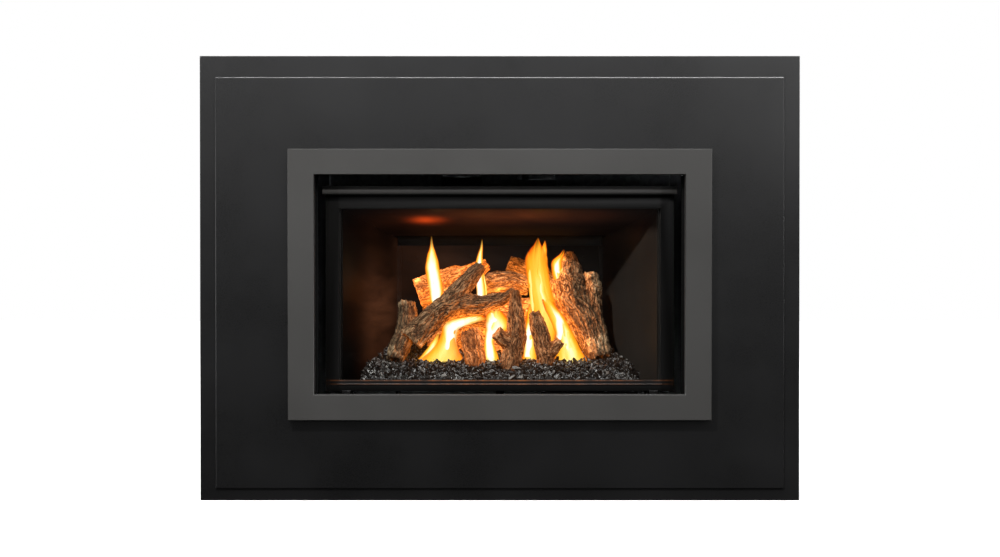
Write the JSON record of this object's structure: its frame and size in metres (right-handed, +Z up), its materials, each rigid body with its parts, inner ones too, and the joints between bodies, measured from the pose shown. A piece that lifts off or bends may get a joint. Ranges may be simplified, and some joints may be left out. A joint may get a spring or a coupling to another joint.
{
  "type": "direct-vent gas fireplace insert",
  "caption": "Built-in gas fireplace insert with black steel surround, grey picture-frame trim, glass window and ceramic logs.",
  "frame": {"origin": "bottom centre of the whole appliance's bounding box, feet retracted", "axes": "+X to the right seen from the front, +Y from the window back into the wall, +Z up"},
  "size_m": [1.118, 0.404, 0.829],
  "materials": {
    "black_satin_paint": "satin powder-coated sheet steel",
    "grey_satin_paint": "satin gunmetal-grey powder coat",
    "black_heat_paint": "satin black high-temperature paint",
    "galvanised_sheet": "galvanised sheet steel with fine spangle",
    "dark_sheet_steel": "dark matt heat-resistant coating, lightly mottled",
    "ceramic_glass": "clear polished ceramic glass",
    "fibre_gasket": "braided glass-fibre rope, matt",
    "liner_enamel": "semi-gloss black enamel",
    "log_ceramic": "matt bark-textured ceramic fibre, brown with tan knots and pale cut ends",
    "ember_chips": "crushed glossy black chips",
    "aluminium_sheet": "plain mill-finish aluminium",
    "black_plastic": "fine matt moulded plastic",
    "red_plastic": "glossy moulded plastic",
    "brass_fitting": "satin machined brass"
  },
  "bodies": {
    "appliance": {"backing_plate": "black_satin_paint", "surround_panel": "black_satin_paint", "surround_bracket_left": "galvanised_sheet", "surround_bracket_right": "galvanised_sheet", "trim_bracket_left": "galvanised_sheet", "trim_bracket_right": "galvanised_sheet", "case_base": "galvanised_sheet", "case_left_side": "galvanised_sheet", "case_right_side": "galvanised_sheet", "case_rear_panel": "galvanised_sheet", "case_top": "galvanised_sheet", "intake_duct": "galvanised_sheet", "blower_housing": "galvanised_sheet", "deflector_hood": "black_heat_paint", "firebox_shell": "dark_sheet_steel", "flue_box": "dark_sheet_steel", "burner_tray": "dark_sheet_steel", "control_bracket": "dark_sheet_steel", "blower_motor": "dark_sheet_steel", "liner_left": "liner_enamel", "liner_right": "liner_enamel", "liner_back": "liner_enamel", "ceiling_baffle": "liner_enamel", "log_front_left": "log_ceramic", "log_centre_front": "log_ceramic", "log_small_left": "log_ceramic", "log_centre_right": "log_ceramic", "log_left_base": "log_ceramic", "log_right": "log_ceramic", "log_rear_base": "log_ceramic", "log_rear_upper": "log_ceramic", "log_rear_left": "log_ceramic", "log_rear_centre": "log_ceramic", "log_rear_right": "log_ceramic", "ember_bed": "ember_chips", "exhaust_collar": "aluminium_sheet", "intake_collar": "aluminium_sheet", "gas_valve": "aluminium_sheet", "pilot_burner": "aluminium_sheet", "receiver_box": "black_plastic", "gas_inlet_pipe": "brass_fitting", "burner_supply_pipe": "brass_fitting"},
    "trim": {"trim_frame": "grey_satin_paint"},
    "window": {"window_frame": "black_heat_paint", "glass_pane": "ceramic_glass", "window_gasket": "fibre_gasket"},
    "latch_left": {"latch_left": "black_heat_paint"},
    "latch_right": {"latch_right": "black_heat_paint"},
    "gas_knob": {"gas_knob": "black_plastic"},
    "flame_knob": {"flame_knob": "black_plastic"},
    "igniter_button": {"igniter_button": "red_plastic"},
    "power_switch": {"power_switch": "black_plastic"},
    "blower_wheel": {"blower_wheel": "aluminium_sheet"},
    "relief_flap_left": {"relief_flap_left": "galvanised_sheet"},
    "relief_flap_right": {"relief_flap_right": "galvanised_sheet"},
    "levelling_foot_front_left": {"levelling_foot_front_left": "galvanised_sheet"},
    "levelling_foot_front_right": {"levelling_foot_front_right": "galvanised_sheet"},
    "levelling_foot_rear_left": {"levelling_foot_rear_left": "galvanised_sheet"},
    "levelling_foot_rear_right": {"levelling_foot_rear_right": "galvanised_sheet"}
  },
  "joints": [
    {"name": "trim_lift_off", "type": "slide", "parent": "appliance", "child": "trim", "axis": [0, -1, 0], "range_m": [0, 0.08]},
    {"name": "window_tilt", "type": "hinge", "parent": "appliance", "child": "window", "pos_m": [0, -0.135, 0.569], "axis": [-1, 0, 0], "range_deg": [0, 15]},
    {"name": "latch_left_release", "type": "hinge", "parent": "appliance", "child": "latch_left", "pos_m": [-0.288, -0.11, 0.19], "axis": [1, 0, 0], "range_deg": [0, 75]},
    {"name": "latch_right_release", "type": "hinge", "parent": "appliance", "child": "latch_right", "pos_m": [0.288, -0.11, 0.19], "axis": [1, 0, 0], "range_deg": [0, 75]},
    {"name": "gas_knob_turn", "type": "hinge", "parent": "appliance", "child": "gas_knob", "pos_m": [0.11, -0.123, 0.181], "axis": [0, -1, 0], "range_deg": [0, 180]},
    {"name": "flame_knob_turn", "type": "hinge", "parent": "appliance", "child": "flame_knob", "pos_m": [0.16, -0.123, 0.181], "axis": [0, -1, 0], "range_deg": [0, 120]},
    {"name": "igniter_press", "type": "slide", "parent": "appliance", "child": "igniter_button", "axis": [0, 1, 0], "range_m": [0, 0.004], "stiffness_N_per_m": 600},
    {"name": "power_switch_rock", "type": "hinge", "parent": "appliance", "child": "power_switch", "pos_m": [0.24, -0.11, 0.181], "axis": [1, 0, 0], "range_deg": [0, 9]},
    {"name": "blower_wheel_spin", "type": "hinge", "parent": "appliance", "child": "blower_wheel", "pos_m": [0, 0.145, 0.08], "axis": [1, 0, 0], "continuous": true},
    {"name": "relief_flap_left_lift", "type": "hinge", "parent": "appliance", "child": "relief_flap_left", "pos_m": [-0.185, -0.10632, 0.559], "axis": [1, 0, 0], "range_deg": [0, 28]},
    {"name": "relief_flap_right_lift", "type": "hinge", "parent": "appliance", "child": "relief_flap_right", "pos_m": [0.185, -0.10632, 0.559], "axis": [1, 0, 0], "range_deg": [0, 28]},
    {"name": "levelling_foot_front_left_screw", "type": "slide", "parent": "appliance", "child": "levelling_foot_front_left", "axis": [0, 0, -1], "range_m": [0, 0.012]},
    {"name": "levelling_foot_front_right_screw", "type": "slide", "parent": "appliance", "child": "levelling_foot_front_right", "axis": [0, 0, -1], "range_m": [0, 0.012]},
    {"name": "levelling_foot_rear_left_screw", "type": "slide", "parent": "appliance", "child": "levelling_foot_rear_left", "axis": [0, 0, -1], "range_m": [0, 0.012]},
    {"name": "levelling_foot_rear_right_screw", "type": "slide", "parent": "appliance", "child": "levelling_foot_rear_right", "axis": [0, 0, -1], "range_m": [0, 0.012]}
  ],
  "couplings": [
    {"joint": "latch_left_release", "follows": "window_tilt", "ratio": 5},
    {"joint": "latch_right_release", "follows": "window_tilt", "ratio": 5}
  ]
}
